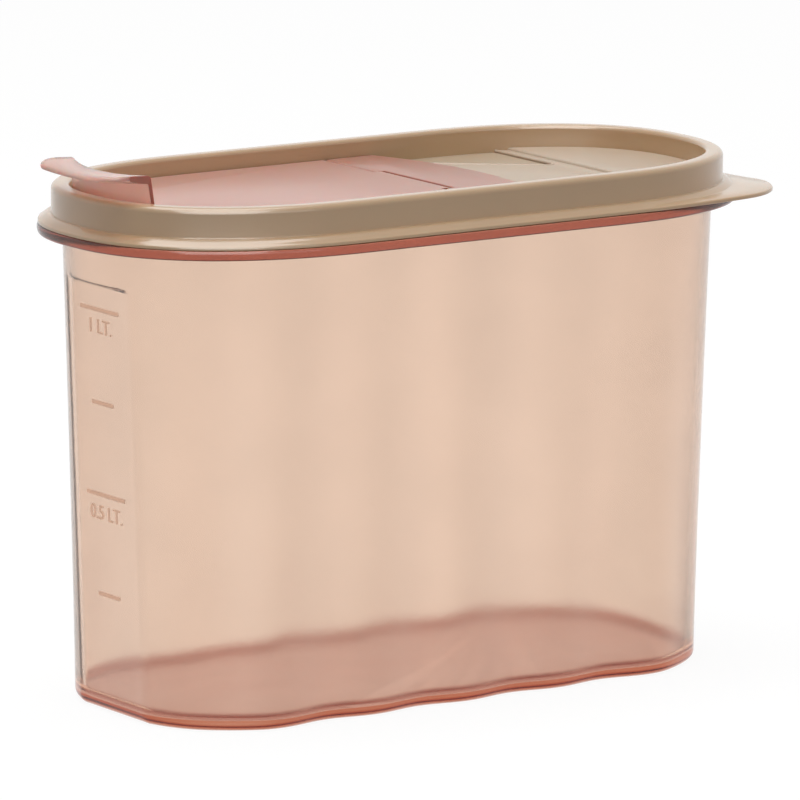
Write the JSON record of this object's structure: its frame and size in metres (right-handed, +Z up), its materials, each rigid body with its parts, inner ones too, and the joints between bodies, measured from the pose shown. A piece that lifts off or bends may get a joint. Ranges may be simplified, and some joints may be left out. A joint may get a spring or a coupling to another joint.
{
  "type": "cereal container",
  "caption": "Oval dry-food container with a fluted translucent tub, a press-on lid seal with a raised rim and pull tab, and a flip-up spout door with a finger lip.",
  "frame": {"origin": "centre of the tub's flat underside, on the surface it stands on", "axes": "+Z up, +X along the length towards the pull-tab end, -X towards the spout, -Y towards the long side with the pull tab's corner"},
  "size_m": [0.1852, 0.0888, 0.1323],
  "materials": {
    "tub": "clear tinted rose plastic, smooth and glossy",
    "seal": "opaque taupe flexible plastic, satin",
    "door": "translucent rose plastic, satin"
  },
  "bodies": {
    "tub": {"container": "tub"},
    "lid": {"lid_seal": "seal", "hinge_plate": "door"},
    "door": {"flip_door": "door"}
  },
  "joints": [
    {"name": "lid_lift", "type": "slide", "parent": "tub", "child": "lid", "axis": [0, 0, 1], "range_m": [0, 0.1]},
    {"name": "flip_door_hinge", "type": "hinge", "parent": "lid", "child": "door", "pos_m": [0.0065, 0, 0.1205], "axis": [0, 1, 0], "range_deg": [0, 95]}
  ]
}
